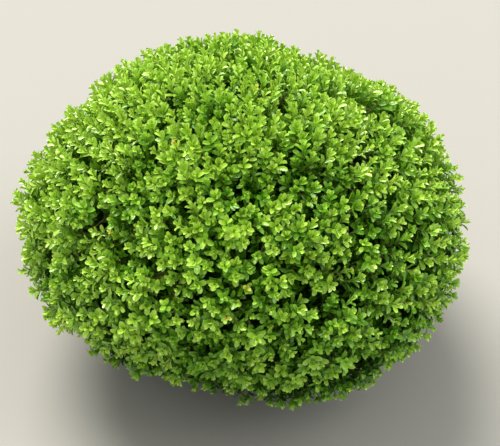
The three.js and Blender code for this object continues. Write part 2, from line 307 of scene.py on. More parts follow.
def makePiece(name, kind, vertices, faces, material, nodes, attributes=None):
    # One mesh object at the origin that rides on the plant and stands for the named solids.
    mesh = bpy.data.meshes.new(name)
    mesh.vertices.add(len(vertices))
    mesh.loops.add(faces.size)
    mesh.polygons.add(len(faces))
    mesh.vertices.foreach_set("co", vertices.astype(np.float32).ravel())
    mesh.polygons.foreach_set("loop_start", np.arange(0, faces.size, 3, dtype=np.int32))
    mesh.loops.foreach_set("vertex_index", faces.astype(np.int32).ravel())
    mesh.update(calc_edges=True)
    for key, values in (attributes or {}).items():
        mesh.attributes.new(key, "FLOAT", "POINT").data.foreach_set("value", values.astype(np.float32))
    mesh.shade_smooth()
    mesh.set_sharp_from_angle(angle=np.radians(pieceKinds[kind]["sharpFrom"]))
    mesh.materials.append(material)
    piece = addObject(name, mesh)
    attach(piece, "root")
    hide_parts(*nodes)
    print(f"  {name}: {len(faces)} triangles")


def newSkin(name, colours, numbers):
    # A shader node group with named inputs, which gives out the colour, roughness and normal of a skin.
    group = bpy.data.node_groups.new(name, "ShaderNodeTree")
    sockets = [(key, "INPUT", "NodeSocketColor") for key in colours]
    sockets += [(key, "INPUT", "NodeSocketFloat") for key in numbers]
    sockets += [("Color", "OUTPUT", "NodeSocketColor"), ("Roughness", "OUTPUT", "NodeSocketFloat")]
    sockets += [("Normal", "OUTPUT", "NodeSocketVector")]
    for key, side, kind in sockets:
        group.interface.new_socket(name=key, in_out=side, socket_type=kind)
    return group, group.nodes.new("NodeGroupInput").outputs, group.nodes.new("NodeGroupOutput").inputs


def addNode(tree, kind, links=None, **settings):
    # One node, with its own settings, and with each named input given a value or linked from a socket.
    node = tree.nodes.new(kind)
    for key, value in settings.items():
        setattr(node, key, value)
    for key, value in (links or {}).items():
        if isinstance(value, bpy.types.NodeSocket):
            tree.links.new(value, node.inputs[key])
        else:
            node.inputs[key].default_value = value
    return node


def addMath(tree, operation, *terms):
    # A math node on sockets or numbers, and its result.
    return addNode(tree, "ShaderNodeMath", dict(enumerate(terms)), operation=operation).outputs[0]


def mixColours(tree, share, first, second):
    # A colour mix node between two colours by a share, and its result.
    node = addNode(tree, "ShaderNodeMix", {0: share, 6: first, 7: second}, data_type="RGBA")
    return node.outputs[2]


def addNoise(tree, place, scale, detail):
    # A noise at each place, from 0 to 1.
    links = {"Vector": place, "Scale": scale, "Detail": detail}
    return addNode(tree, "ShaderNodeTexNoise", links).outputs["Fac"]


def addRamp(tree, value, before, after=(0.0, 1.0)):
    # A value mapped straight from the range before to the range after, and held at its ends.
    limits = dict(zip(("From Min", "From Max", "To Min", "To Max"), before + after))
    return addNode(tree, "ShaderNodeMapRange", {"Value": value, **limits}).outputs["Result"]


def handOut(group, end, shown, roughness, height, strength, depth):
    # The three results of a skin group. The normal leans by the slope of the height.
    bump = addNode(group, "ShaderNodeBump", {"Height": height, "Strength": strength, "Distance": depth})
    group.links.new(shown, end["Color"])
    group.links.new(roughness, end["Roughness"])
    group.links.new(bump.outputs["Normal"], end["Normal"])


# What all leaves share. Rib and rim highlight are ranges across the blade, from its middle at 0 to its edge
# at 1.
leafLook = {
    "patchScale": 34.0, "patchDetail": 3.0, "patchEdge": (0.35, 0.65),
    "rib": (0.0, 0.16), "rim": (0.7, 1.0),
    "grainScale": 420.0, "grainDetail": 2.0, "grainRange": (0.3, 0.7),
    "bumpStrength": 0.25, "bumpDepth": 0.0006, "roughnessSpan": (-0.06, 0.06),
}


def makeLeafGroup():
    # Leaf colour: main and second by soft patches, then pale by the square of the place along the blade,
    # plus a line along the rib and the rim. The pale tip and rim are partly the blade's own paler growth and
    # partly a painted highlight where light catches the cupped blade. Height: a fine grain, which also varies
    # the roughness.
    group, given, end = newSkin("leafBlade", ("Main", "Second", "Pale"), ("Tip", "Lines", "Roughness"))
    place = addNode(group, "ShaderNodeTexCoord").outputs["Object"]
    patch = addNoise(group, place, leafLook["patchScale"], leafLook["patchDetail"])
    base = mixColours(group, addRamp(group, patch, leafLook["patchEdge"]), given["Main"], given["Second"])
    along = addNode(group, "ShaderNodeAttribute", attribute_name="along").outputs["Fac"]
    across = addNode(group, "ShaderNodeAttribute", attribute_name="across").outputs["Fac"]
    rib = addRamp(group, across, leafLook["rib"], (1.0, 0.0))
    # The rib line is the blade's paler midrib; the rim line is partly a painted highlight.
    lines = addMath(group, "ADD", rib, addRamp(group, across, leafLook["rim"]))
    # Partly a painted highlight: the blade pales towards its tip.
    tip = addMath(group, "MULTIPLY", addMath(group, "MULTIPLY", along, along), given["Tip"])
    share = addMath(group, "MULTIPLY_ADD", lines, given["Lines"], tip)
    grain = addNoise(group, place, leafLook["grainScale"], leafLook["grainDetail"])
    change = addRamp(group, grain, leafLook["grainRange"], leafLook["roughnessSpan"])
    handOut(group, end, mixColours(group, share, base, given["Pale"]),
            addMath(group, "ADD", change, given["Roughness"]), grain,
            leafLook["bumpStrength"], leafLook["bumpDepth"])
    return group


# What all bark shares. A crack is a range of distance from its middle.
barkLook = {
    "stretch": (1.0, 1.0, 0.35), "crack": (0.0, 0.22),
    "patchScale": 38.0, "patchDetail": 4.0, "patchEdge": (0.45, 0.7),
    "grainScale": 600.0, "grainDetail": 3.0, "grainRange": (0.3, 0.7), "grainShare": 0.4,
    "bumpStrength": 0.7, "roughness": (0.72, 0.92),
}


def makeBarkGroup():
    # Bark colour: dark in the cracks, light on the plates, and green film in large patches. Height: plates
    # stretched along Z plus a share of fine grain.
    group, given, end = newSkin("barkSkin", ("Light", "Dark", "Film"), ("Scale", "Green", "Depth"))
    place = addNode(group, "ShaderNodeTexCoord").outputs["Object"]
    links = {"Vector": place, "Scale": barkLook["stretch"]}
    stretched = addNode(group, "ShaderNodeMapping", links).outputs["Vector"]
    links = {"Vector": stretched, "Scale": given["Scale"]}
    plates = addNode(group, "ShaderNodeTexVoronoi", links, feature="DISTANCE_TO_EDGE").outputs["Distance"]
    raised = addRamp(group, plates, barkLook["crack"])
    patch = addNoise(group, place, barkLook["patchScale"], barkLook["patchDetail"])
    grain = addNoise(group, stretched, barkLook["grainScale"], barkLook["grainDetail"])
    film = addMath(group, "MULTIPLY", addRamp(group, patch, barkLook["patchEdge"]), given["Green"])
    brown = mixColours(group, raised, given["Dark"], given["Light"])
    handOut(group, end, mixColours(group, film, brown, given["Film"]),
            addRamp(group, grain, barkLook["grainRange"], barkLook["roughness"]),
            addMath(group, "MULTIPLY_ADD", grain, barkLook["grainShare"], raised),
            barkLook["bumpStrength"], given["Depth"])
    return group


def colour(screen):
    # A screen colour from 0 to 255 as the linear one that a shader takes.
    part = np.array(screen) / 255
    linear = np.where(part <= 0.04045, part / 12.92, ((part + 0.055) / 1.055) ** 2.4)
    return (*linear, 1.0)


def makeMaterial(name, group, look):
    # A material whose Principled shader takes colour, roughness and normal from the group. A colour for
    # under takes the place of the group's on the back of each face.
    material = bpy.data.materials.new(name)
    material.use_nodes = True
    tree = material.node_tree
    shader = tree.nodes["Principled BSDF"].inputs
    shader["Specular IOR Level"].default_value = look["shine"]
    skin = addNode(tree, "ShaderNodeGroup", node_tree=group)
    for socket in skin.inputs:
        value = look[socket.name]
        socket.default_value = colour(value) if socket.type == "RGBA" else value
    shown = skin.outputs["Color"]
    if "under" in look:
        behind = addNode(tree, "ShaderNodeNewGeometry").outputs["Backfacing"]
        shown = mixColours(tree, behind, shown, colour(look["under"]))
    tree.links.new(shown, shader["Base Color"])
    for key in ("Roughness", "Normal"):
        tree.links.new(skin.outputs[key], shader[key])
    return material


# Leaf tones from the tip of a sprig inwards. Old leaves are duller, and all are paler underneath. Tip and
# lines say how much of the pale colour, partly a painted highlight, shows there.
tones = named(("name", "shine", "under", "Main", "Second", "Pale", "Tip", "Lines", "Roughness"), [
    ("young", 0.55, (188, 221, 78), (160, 203, 46), (140, 187, 30), (206, 232, 122), 0.42, 0.28, 0.27),
    ("fresh", 0.55, (166, 207, 64), (134, 186, 36), (108, 166, 22), (186, 221, 104), 0.40, 0.28, 0.27),
    ("mature", 0.38, (128, 180, 44), (99, 158, 18), (75, 134, 10), (156, 202, 84), 0.36, 0.28, 0.28),
    ("old", 0.16, (90, 142, 26), (67, 123, 8), (51, 103, 6), (110, 162, 52), 0.30, 0.25, 0.40),
    ("dim", 0.10, (58, 100, 16), (45, 91, 9), (34, 74, 6), (70, 112, 32), 0.26, 0.21, 0.45),
    ("shaded", 0.08, (48, 86, 13), (38, 78, 8), (29, 64, 6), (60, 98, 28), 0.24, 0.19, 0.47),
    ("golden", 0.42, (220, 224, 104), (196, 204, 64), (204, 196, 72), (234, 238, 146), 0.50, 0.30, 0.38),
])
barks = named(("name", "shine", "Light", "Dark", "Film", "Scale", "Green", "Depth"), [
    ("twig", 0.35, (142, 128, 84), (92, 78, 50), (112, 128, 58), 500.0, 0.7, 0.0002),
    ("stem", 0.30, (150, 134, 108), (74, 60, 46), (112, 120, 78), 230.0, 0.4, 0.0009),
])
leafGroup = makeLeafGroup()
barkGroup = makeBarkGroup()
leafMaterials = {tone["name"]: makeMaterial(f"leaf_{tone['name']}", leafGroup, tone) for tone in tones}
barkMaterials = {bark["name"]: makeMaterial(f"{bark['name']}_bark", barkGroup, bark) for bark in barks}
print("materials made")

# The main stem, from its flat cut at ground level.
mainStem = {
    "height": 0.120, "footRadius": 0.015, "tipRadius": 0.009, "flare": 0.009, "flareHeight": 0.015,
    "roots": 5, "ridge": 0.22, "lean": 0.007, "sides": 80,
    "rings": 72, "crowding": 1.3,  # a power above 1 brings the rings closer together at the foot
    "cap": 0.002,  # how far the middle of its top stands up
    "relief": 0.05, "plates": 9, "seed": 0.4,
}
# Waves of bark relief: how fast each runs along the limb, how many more times than the plates it goes round,
# how far its second wave bends it, and its share.
barkWaves = named(("along", "more", "bend", "share"), [
    (190, 0, 1.7, 1.0),
    (310, 4, -2.1, 0.7),
    (620, -3, 2.5, 0.5),
])


def stemCentre(height):
    # The stem leans by the square of the share of its height.
    share = height / mainStem["height"]
    return np.stack([mainStem["lean"] * share**2, 0 * share, height], -1)


def fissures(along, around, plates, seed):
    # Bark relief from -1 to 1. Two waves go round the limb, each bent by one along it, so that their crests
    # part and meet as long plates do. The third and finest goes along it, bent by one round it.
    wide, narrow, fine = barkWaves
    bent = wide["bend"] * np.sin(along * wide["along"] + seed)
    waves = wide["share"] * np.sin(plates * around + bent + seed)
    bent = narrow["bend"] * np.sin(along * narrow["along"] + 2 * seed)
    waves = waves + narrow["share"] * np.sin((plates + narrow["more"]) * around + bent)
    bent = fine["bend"] * np.sin((plates + fine["more"]) * around + seed)
    waves = waves + fine["share"] * np.sin(along * fine["along"] + bent)
    return waves / sum(wave["share"] for wave in barkWaves)


def makeMainStem():
    # Radius: straight taper, plus a flare that fades with height and bulges at each root, times the relief.
    share = np.linspace(0, 1, mainStem["rings"])
    height = mainStem["height"] * share ** mainStem["crowding"]
    turn = np.arange(mainStem["sides"]) * 2 * np.pi / mainStem["sides"]
    thinner = mainStem["tipRadius"] - mainStem["footRadius"]
    taper = mainStem["footRadius"] + thinner * height / mainStem["height"]
    fade = np.exp(-height / mainStem["flareHeight"])
    bulges = 1 + mainStem["ridge"] * fade[:, None] * np.cos(mainStem["roots"] * turn)
    waves = fissures(height[:, None], turn[None, :], mainStem["plates"], mainStem["seed"])
    radius = (taper + mainStem["flare"] * fade)[:, None] * bulges * (1 + mainStem["relief"] * waves)
    centre = stemCentre(height)
    points = centre[:, None] + radius[..., None] * np.stack([np.cos(turn), np.sin(turn), 0 * turn], -1)
    rings, sides = radius.shape
    vertices = np.concatenate([points.reshape(-1, 3), centre[:1], centre[-1:] + up * mainStem["cap"]])
    faces = tubes(np.zeros((1, rings, 3)), np.tile(up, (1, rings, 1)), np.ones((1, rings)), sides)[1]
    makePiece("main_stem_bark", "bark", vertices, faces, barkMaterials["stem"], ["main_stem"])


boughShape = {
    "tipRadius": 0.003, "leave": 0.040, "leaveLift": 0.7, "bend": 0.060, "rings": 64, "sides": 16,
    "knots": 5, "knotRise": 0.09, "knotPower": 8, "knotTurn": 6,
    "relief": 0.07, "plates": 5, "seedStep": 1.3, "reliefLength": 0.22,
}


def makeBoughs():
    # Each bough is a cubic Bezier curve from the stem's middle line to the root of its mass. Its radius
    # tapers evenly, with low swellings where side shoots once grew, and bark relief over that.
    start = stemCentre(masses["fork"])
    way = unit(masses["axis"] * [1, 1, 0] + up * boughShape["leaveLift"])
    end = masses["root"]
    controls = [start, start + way * boughShape["leave"], end - masses["rise"] * boughShape["bend"], end]
    count, rings, sides = len(start), boughShape["rings"], boughShape["sides"]
    share = np.tile(np.linspace(0, 1, rings), (count, 1))
    points, tangents = bezier(controls, share)
    seed = np.arange(count)[:, None]
    knotTurn = share * boughShape["knots"] * 2 * np.pi + boughShape["knotTurn"] * chance(seed, 7)
    knots = 1 + boughShape["knotRise"] * np.maximum(0, np.sin(knotTurn)) ** boughShape["knotPower"]
    radii = (masses["radius"][:, None] * (1 - share) + boughShape["tipRadius"] * share) * knots
    turn = np.arange(sides) * 2 * np.pi / sides
    along = (share * boughShape["reliefLength"])[..., None]
    waves = fissures(along, turn, boughShape["plates"], seed[..., None] * boughShape["seedStep"])
    relief = 1 + boughShape["relief"] * waves
    for k, name in enumerate(masses["name"]):
        one = slice(k, k + 1)
        vertices, faces = tubes(points[one], tangents[one], radii[one], sides, relief[one])
        makePiece(f"bough_bark_{name}", "bark", vertices, faces, barkMaterials["stem"], [f"bough_{name}"])


makeMainStem()
makeBoughs()
print("stem and boughs made")

# A tuft is a handful of sprigs that end one branchlet of a clump.
tuftShape = {
    "count": 440, "firstSeed": 900, "turned": 0.7, "jitter": 0.05,
    "knot": 0.040,  # depth of the knot that its sprigs grow from, under its own top
    "knotDrop": 0.006,
    "clumpValley": 0.007, "valleyPower": 1.5,  # how much lower the surface lies between two clumps
    "stray": 0.005,
    "weakShare": 0.07, "weak": 0.016,  # share of tufts that lag behind the others, and by how much
    "fork": (0.45, 0.95),
    "sag": (0.1, 0.1, -0.15),  # how far its branchlet bends off the straight, as shares of that line
    "square": 0.52, "light": 0.46, "shade": 0.12, "unruly": 0.35,  # what turns its shared growth, as weights
    "darkBelow": -0.6, "dawn": 0.9,  # sine of elevation where light begins, and how much more brings it all
}
nearness = {"others": 9.0, "steepness": 2.2}  # metres to a target of another mass, and how fast inward rises


def nearestOwn(points, mass, targets, targetMass):
    # The nearest target of the same mass for each point, and how far the point lies inside that target's
    # share of the mass: 1 in its middle, 0 on the line to the mass's next target.
    apart = np.linalg.norm(points[:, None] - targets[None], axis=2)
    own = np.where(mass[:, None] == targetMass[None], apart, nearness["others"])
    nearest, nearer = np.argmin(own, axis=1), np.sort(own, axis=1)
    first, second = nearer[:, 0], nearer[:, 1]
    return nearest, np.clip(nearness["steepness"] * (second - first) / (second + first), 0, 1)


def growthTo(direction, seed):
    # Growth square to the surface and to the light, with a seeded stray, mixed by weights. The light counts
    # for less on the shaded sides.
    lit = np.clip((direction[:, 2:] - tuftShape["darkBelow"]) / tuftShape["dawn"], 0, 1)
    light = tuftShape["shade"] + (tuftShape["light"] - tuftShape["shade"]) * lit
    wild = tuftShape["unruly"] * strayVector(seed, 24)
    return unit(tuftShape["square"] * outwardNormal(direction) + light * up + wild)


def planTufts():
    # Even headings with a seeded stray, each on the nearest clump of its mass. Its branchlet runs from the
    # clump's branch to its knot, below the tuft's top, and the top lies lower between two clumps.
    seed = np.arange(tuftShape["count"]) + tuftShape["firstSeed"]
    wild = tuftShape["jitter"] * strayVector(seed, 11)
    direction = unit(evenHeadings(tuftShape["count"], tuftShape["turned"]) + wild)
    seed, direction, mass = onMasses(seed, direction)
    top = surfacePoint(direction, 0)
    clump, inward = nearestOwn(top, mass, clumps["surface"], clumps["mass"])
    weak = chance(seed, 17) < tuftShape["weakShare"]
    valley = tuftShape["clumpValley"] * (1 - inward) ** tuftShape["valleyPower"]
    depth = valley + tuftShape["weak"] * weak + tuftShape["stray"] * stray(seed, 14)[:, 0]
    fork = between(tuftShape["fork"], seed, 15)[:, None]
    foot, tip = clumps["foot"][clump], clumps["tip"][clump]
    start = bezier([masses["heart"][mass], foot, foot, tip], fork)[0][:, 0]
    knot = surfacePoint(direction, depth + tuftShape["knot"]) - up * tuftShape["knotDrop"]
    bend = (start + knot) / 2 + (knot - start) * tuftShape["sag"]
    return {
        "mass": mass, "surface": top, "depth": depth, "start": start, "bend": bend, "knot": knot,
        "growth": growthTo(direction, seed), "vigour": chance(seed, 16),
    }


# A sprig is the last few centimetres of growth, with all its leaves. Outer ones make the clipped surface,
# under ones fill its gaps, and inner and deep ones carry the old leaves in the shade. Of its pairs of
# leaves, those numbered full, middling and plain, from the tip, have the finer outlines.
layerKeys = "name count depth stray fork pairs full middling plain ageing grow rings".split()
sprigLayers = named(layerKeys, [
    ("outer", 2750, -0.003, 0.005, (0.75, 1.0), 8, 4, 2, 2, 0.0, 1.0, 5),
    ("under", 1550, 0.022, 0.007, (0.45, 0.95), 7, 0, 0, 7, 1.6, 1.05, 4),
    ("inner", 1700, 0.050, 0.014, (0.05, 0.70), 6, 0, 0, 0, 6.0, 1.75, 3),
    ("deep", 800, 0.082, 0.010, (0.0, 0.3), 5, 0, 0, 0, 9.0, 1.95, 3),
])
sprigShape = {
    "seedStep": 5000, "turnStep": 1.3, "jitter": 0.015,
    "tuftValley": 0.011,  # how much lower the surface lies between two tufts
    "shallower": 0.7, "deeper": 1.4,  # how that changes with the rise, above the middle and below it
    "fan": 0.55, "together": 0.75, "unruly": 0.20,  # what turns them, as weights
    "gather": 0.5,  # how much less they fan out on the very top
    "tipLeaf": 0.005,  # how far the end leaves stand out past the stem
    "straight": 0.026, "straightShare": 0.6,  # length of the last straight stretch, and its most as a share
    "sizes": (0.80, 1.12), "hollowShade": 1.8, "tuftVigour": 0.55,
}

# Thin places where the shade inside shows, in degrees, and how much lower the leaves lie. Their leaves
# also take darker tones, a painted shade.
hollows = named(("azimuth", "elevation", "spread", "depth"), [
    (-93, 46, 5.2, 0.040), (-83, 47, 4.5, 0.038), (-65, 47, 5.2, 0.038), (-57, 46, 4.5, 0.032),
    (-49, 38, 5.0, 0.036), (-137, 44, 5.0, 0.032), (-131, 30, 5.0, 0.015), (-170, 65, 6.0, 0.026),
    (-128, 74, 4.5, 0.014), (-49, 21, 5.0, 0.026), (-100, 3, 5.0, 0.026), (-148, 4, 5.0, 0.026),
    (-64, -7, 5.0, 0.026), (28, 34, 5.0, 0.034), (72, 22, 5.0, 0.030), (118, 47, 5.0, 0.032),
    (163, 12, 5.0, 0.028), (8, 4, 5.0, 0.026),
])


def thinness(direction):
    # How thin the growth is, and how much lower it lies: by the hollow that counts for most.
    share, lower = np.zeros(len(direction)), np.zeros(len(direction))
    for hollow in hollows:
        near = nearSpot(direction, hollow)
        share = np.maximum(share, near)
        lower = np.maximum(lower, hollow["depth"] * near)
    return share, lower


def planSprigs(layer, number):
    # Even headings with a seeded stray, each on the nearest tuft of its mass. Its tip lies lower between two
    # tufts. It grows away from the tuft's knot and along with the tuft, mixed by weights, and its stem is a
    # quadratic Bezier curve from the tuft's branchlet to its tip.
    seed = np.arange(layer["count"]) + number * sprigShape["seedStep"]
    even = evenHeadings(layer["count"], number * sprigShape["turnStep"])
    direction = unit(even + sprigShape["jitter"] * strayVector(seed, 19))
    seed, direction, mass = onMasses(seed, direction)
    tuft, inward = nearestOwn(surfacePoint(direction, 0), mass, tufts["surface"], tufts["mass"])
    thin, lower = thinness(direction)
    rise = direction[:, 2]
    steeper = np.where(rise > 0, sprigShape["shallower"], sprigShape["deeper"])
    valley = sprigShape["tuftValley"] * (1 - inward) * (1 - steeper * rise)
    depth = layer["depth"] + tufts["depth"][tuft] + valley + lower
    surface = surfacePoint(direction, depth + layer["stray"] * stray(seed, 23)[:, 0])
    away = unit(surface - tufts["knot"][tuft])
    fan = sprigShape["fan"] * (1 - sprigShape["gather"] * np.maximum(0, rise))[:, None]
    together = sprigShape["together"] * tufts["growth"][tuft]
    growth = unit(fan * away + together + sprigShape["unruly"] * strayVector(seed, 24))
    end = surface - growth * sprigShape["tipLeaf"]
    fork = between(layer["fork"], seed, 27)[:, None]
    start = bezier([tufts["start"][tuft], tufts["bend"][tuft], tufts["knot"][tuft]], fork)[0][:, 0]
    most = sprigShape["straightShare"] * np.linalg.norm(end - start, axis=1, keepdims=True)
    own = 1 - sprigShape["tuftVigour"]
    print(f"  {layer['name']}: {len(seed)} sprigs")
    return {
        "layer": np.full(len(seed), number), "seed": seed, "mass": mass, "direction": direction,
        "start": start, "bend": end - growth * np.minimum(sprigShape["straight"], most), "end": end,
        "size": layer["grow"] * between(sprigShape["sizes"], seed, 28),
        # Shelter: how far into a valley between tufts or a hollow it lies, later painted shade in its tone.
        "shelterShade": 1 - inward + sprigShape["hollowShade"] * thin,
        "vigour": sprigShape["tuftVigour"] * tufts["vigour"][tuft] + own * chance(seed, 29),
        "spin": 2 * np.pi * chance(seed, 30),
    }


def layerValues(key, sprig):
    # The number under this key in the layer of each of these sprigs.
    return np.array([layer[key] for layer in sprigLayers])[sprigs["layer"][sprig]]


def foliageNodes(tierName):
    # The names of a tier's foliage solids.
    return [f"foliage_{name}" for name, tier in zip(masses["name"], masses["tier"]) if tier == tierName]


# Orders of twig: radii at the root and the tip, rings and sides.
twigShapes = {
    "stem": {"radii": (0.0026, 0.0024), "rings": 4, "sides": 8},
    "branch": {"radii": (0.0022, 0.0011), "rings": 9, "sides": 5},
    "branchlet": {"radii": (0.0014, 0.0010), "rings": 5, "sides": 4},
    "sprig": {"radii": (0.0010, 0.0005), "sides": 3},
}


def makeTwigs():
    # Four orders of twig, all as tubes: the stem of a mass, the branches of its clumps, the branchlets of
    # their tufts, and the sprigs. The twigs of a tier's masses are one piece.
    branches = [masses["heart"][clumps["mass"]], clumps["foot"], clumps["foot"], clumps["tip"]]
    orders = [
        (twigShapes["stem"], np.arange(len(masses["name"])), [masses["root"], masses["heart"]]),
        (twigShapes["branch"], clumps["mass"], branches),
        (twigShapes["branchlet"], tufts["mass"], [tufts["start"], tufts["bend"], tufts["knot"]]),
    ]
    for number, layer in enumerate(sprigLayers):
        own = sprigs["layer"] == number
        controls = [sprigs[key][own] for key in ("start", "bend", "end")]
        orders.append(({**twigShapes["sprig"], "rings": layer["rings"]}, sprigs["mass"][own], controls))
    for tier in tiers:
        parts = []
        for shape, mass, controls in orders:
            chosen = masses["tier"][mass] == tier["name"]
            share = np.tile(np.linspace(0, 1, shape["rings"]), (chosen.sum(), 1))
            points, tangents = bezier([control[chosen] for control in controls], share)
            first, last = shape["radii"]
            parts.append(tubes(points, tangents, first + (last - first) * share, shape["sides"]))
        vertices, faces = joinParts(parts)
        nodes = foliageNodes(tier["name"])
        makePiece(f"twigs_{tier['name']}", "twigs", vertices, faces, barkMaterials["twig"], nodes)


# Crossed pairs of leaves from a sprig's tip inwards: distance below the tip, length, and angle off the stem.
leafPairs = {
    "below": np.array([0.0005, 0.0036, 0.0082, 0.0136, 0.0194, 0.0254, 0.0316, 0.038]),
    "length": np.array([0.007, 0.0102, 0.0126, 0.0138, 0.0144, 0.0146, 0.0146, 0.0144]),
    "splay": np.array([16, 28, 38, 45, 51, 56, 60, 64]),
}
leafShape = {
    "widthShare": 0.47, "cup": 0.15, "bend": 0.13,
    "spacings": (0.8, 1.2), "lengths": (0.9, 1.1), "widths": (0.92, 1.08), "cups": (0.4, 1.6),
    "bends": (0.2, 1.8),  # all five as shares of the usual
    "turn": 0.2, "roll": 0.25, "splay": 9,  # strays, in radians and in degrees
    "upright": 0.30,  # how much closer to the stem they stand on the very top
    "clear": 0.012, "missing": 0.03,  # height above the ground, and the share that has dropped
}


def leafBlade(stations, widths):
    # One open blade with its root at the origin, facing up: each vertex's place across and along. At each
    # station there are a left, a middle and a right point, between a root point and a tip point.
    rows = [(0, 0)]
    for y, w in zip(stations, widths):
        rows += [(-w, y), (0, y), (w, y)]
    rows.append((0, 1))
    faces = [(0, 3, 2), (0, 2, 1)]
    for k in range(1, 3 * len(stations) - 2, 3):
        for near in (k + 1, k):
            faces += [(near, near + 1, near + 4), (near, near + 4, near + 3)]
    end = len(rows) - 1
    faces += [(end - 2, end - 1, end), (end - 3, end - 2, end)]
    x, y = np.array(rows, float).T
    return {"x": x, "across": (x != 0).astype(float), "along": y, "faces": np.array(faces)}


# Outlines from full to plain, as shares of the length and of the half width.
blades = {
    "full": leafBlade([0.18, 0.44, 0.72, 0.92], [0.46, 0.88, 1.0, 0.74]),
    "middling": leafBlade([0.30, 0.62, 0.90], [0.66, 1.0, 0.70]),
    "plain": leafBlade([0.38, 0.82], [0.82, 0.92]),
    "coarse": leafBlade([0.60], [1.0]),
}


def growLeaves():
    # A row for each leaf: its root on the sprig's stem, the vectors of its own frame, its length and pair.
    # Each pair is turned by a quarter from the last, and its two leaves face each other across the stem.
    count = len(sprigs["seed"])
    pair = np.arange(len(leafPairs["below"]))[None, :, None]
    twin = np.arange(2)[None, None, :]
    seed = sprigs["seed"][:, None, None] * pair.size * 2 + pair * 2 + twin
    below = leafPairs["below"] * between(leafShape["spacings"], sprigs["seed"], 31)[:, None]
    controls = [sprigs["start"], sprigs["bend"], sprigs["end"]]
    # Near its end a quadratic curve moves by twice its last leg for each whole share.
    lastLeg = np.linalg.norm(sprigs["end"] - sprigs["bend"], axis=1)[:, None]
    root, axis = bezier(controls, np.clip(1 - below / (2 * lastLeg), 0, 1))
    side = unit(np.cross(axis, axis[..., [2, 0, 1]]))
    other = np.cross(axis, side)
    turn = sprigs["spin"][:, None, None] + pair * np.pi / 2
    turn = turn + twin * np.pi + leafShape["turn"] * stray(seed, 32)[..., 0]
    outward = side[:, :, None] * np.cos(turn)[..., None] + other[:, :, None] * np.sin(turn)[..., None]
    splay = leafPairs["splay"][None, :, None] + leafShape["splay"] * stray(seed, 33)[..., 0]
    narrower = leafShape["upright"] * np.maximum(0, sprigs["direction"][:, 2])
    splay = np.radians(splay)[..., None] * (1 - narrower)[:, None, None, None]
    along = np.cos(splay) * axis[:, :, None] + np.sin(splay) * outward
    facing = np.sin(splay) * axis[:, :, None] - np.cos(splay) * outward
    across = np.cross(along, facing)
    roll = leafShape["roll"] * stray(seed, 34)
    cosine, sine = np.cos(roll), np.sin(roll)
    facing, across = facing * cosine + across * sine, across * cosine - facing * sine
    length = leafPairs["length"][None, :, None] * sprigs["size"][:, None, None]
    length = length * between(leafShape["lengths"], seed, 35)
    vectors = {"root": root[:, :, None], "along": along, "facing": facing, "across": across}
    numbers = {"length": length, "seed": seed, "pair": pair, "sprig": np.arange(count)[:, None, None]}
    rows = {key: np.broadcast_to(value, along.shape).reshape(-1, 3) for key, value in vectors.items()}
    rows |= {key: np.broadcast_to(value, seed.shape).ravel() for key, value in numbers.items()}
    start = rows["root"][:, 2]
    lowest = np.minimum(start, start + rows["along"][:, 2] * rows["length"])
    kept = (lowest > leafShape["clear"]) & (rows["pair"] < layerValues("pairs", rows["sprig"]))
    kept &= chance(rows["seed"], 36) > leafShape["missing"]
    return {key: value[kept] for key, value in rows.items()}


def leafMesh(rows, blade):
    # Each leaf's points: root + across * width + along * length + facing * height, where the height rises
    # towards the rim by the cup and falls with the square of the length by the bend.
    length, seed = rows["length"][:, None], rows["seed"][:, None]
    cup = leafShape["cup"] * between(leafShape["cups"], seed, 41)
    bend = leafShape["bend"] * between(leafShape["bends"], seed, 42)
    width = length * leafShape["widthShare"] / 2 * between(leafShape["widths"], seed, 43)
    height = cup * np.abs(blade["x"]) - bend * blade["along"] ** 2
    points = rows["root"][:, None] + rows["across"][:, None] * (width * blade["x"])[..., None]
    points = points + rows["along"][:, None] * (length * blade["along"])[..., None]
    points = points + rows["facing"][:, None] * (length * height)[..., None]
    vertices, faces = gather(points, blade["faces"])
    return vertices, faces, {key: np.tile(blade[key], len(length)) for key in ("across", "along")}


# Painted light and shade: where the leaves take lighter or darker tones than elsewhere, in degrees, and
# the change in the vigour of their sprigs: lighter on the sunny side and darker at the shady foot.
paintedLightSpots = named(("azimuth", "elevation", "vigour"), [(-174, 14, 0.45), (-50, -33, -0.30)])


def paintedSpotLight(direction):
    # The change in vigour: each exposure's own, times the square of the cosine of the angle from it.
    change = np.zeros(len(direction))
    for spot in paintedLightSpots:
        cosine = direction @ heading(spot["azimuth"], spot["elevation"])
        change = change + spot["vigour"] * np.maximum(0, cosine) ** 2
    return change


# Age is in pairs of leaves from the tip. It rises faster underneath, and with shelter, and falls with
# vigour; the rise underneath and with shelter darkens the tone as painted shade. Vigour rises above the
# middle, a painted light on the top, and falls with the square of the depth below it, a painted shade.
ageing = {
    "underneath": 3.2, "shelterShade": 2.4, "usualShelter": 0.45, "vigour": 3.6, "usualVigour": 0.5,
    "above": 0.60, "below": 0.9, "goldenShare": 0.005, "goldenPairs": 2,
}
toneLimits = {"young": 1.4, "fresh": 3.4, "mature": 5.6, "old": 8.0, "dim": 13.0}  # shaded beyond the last


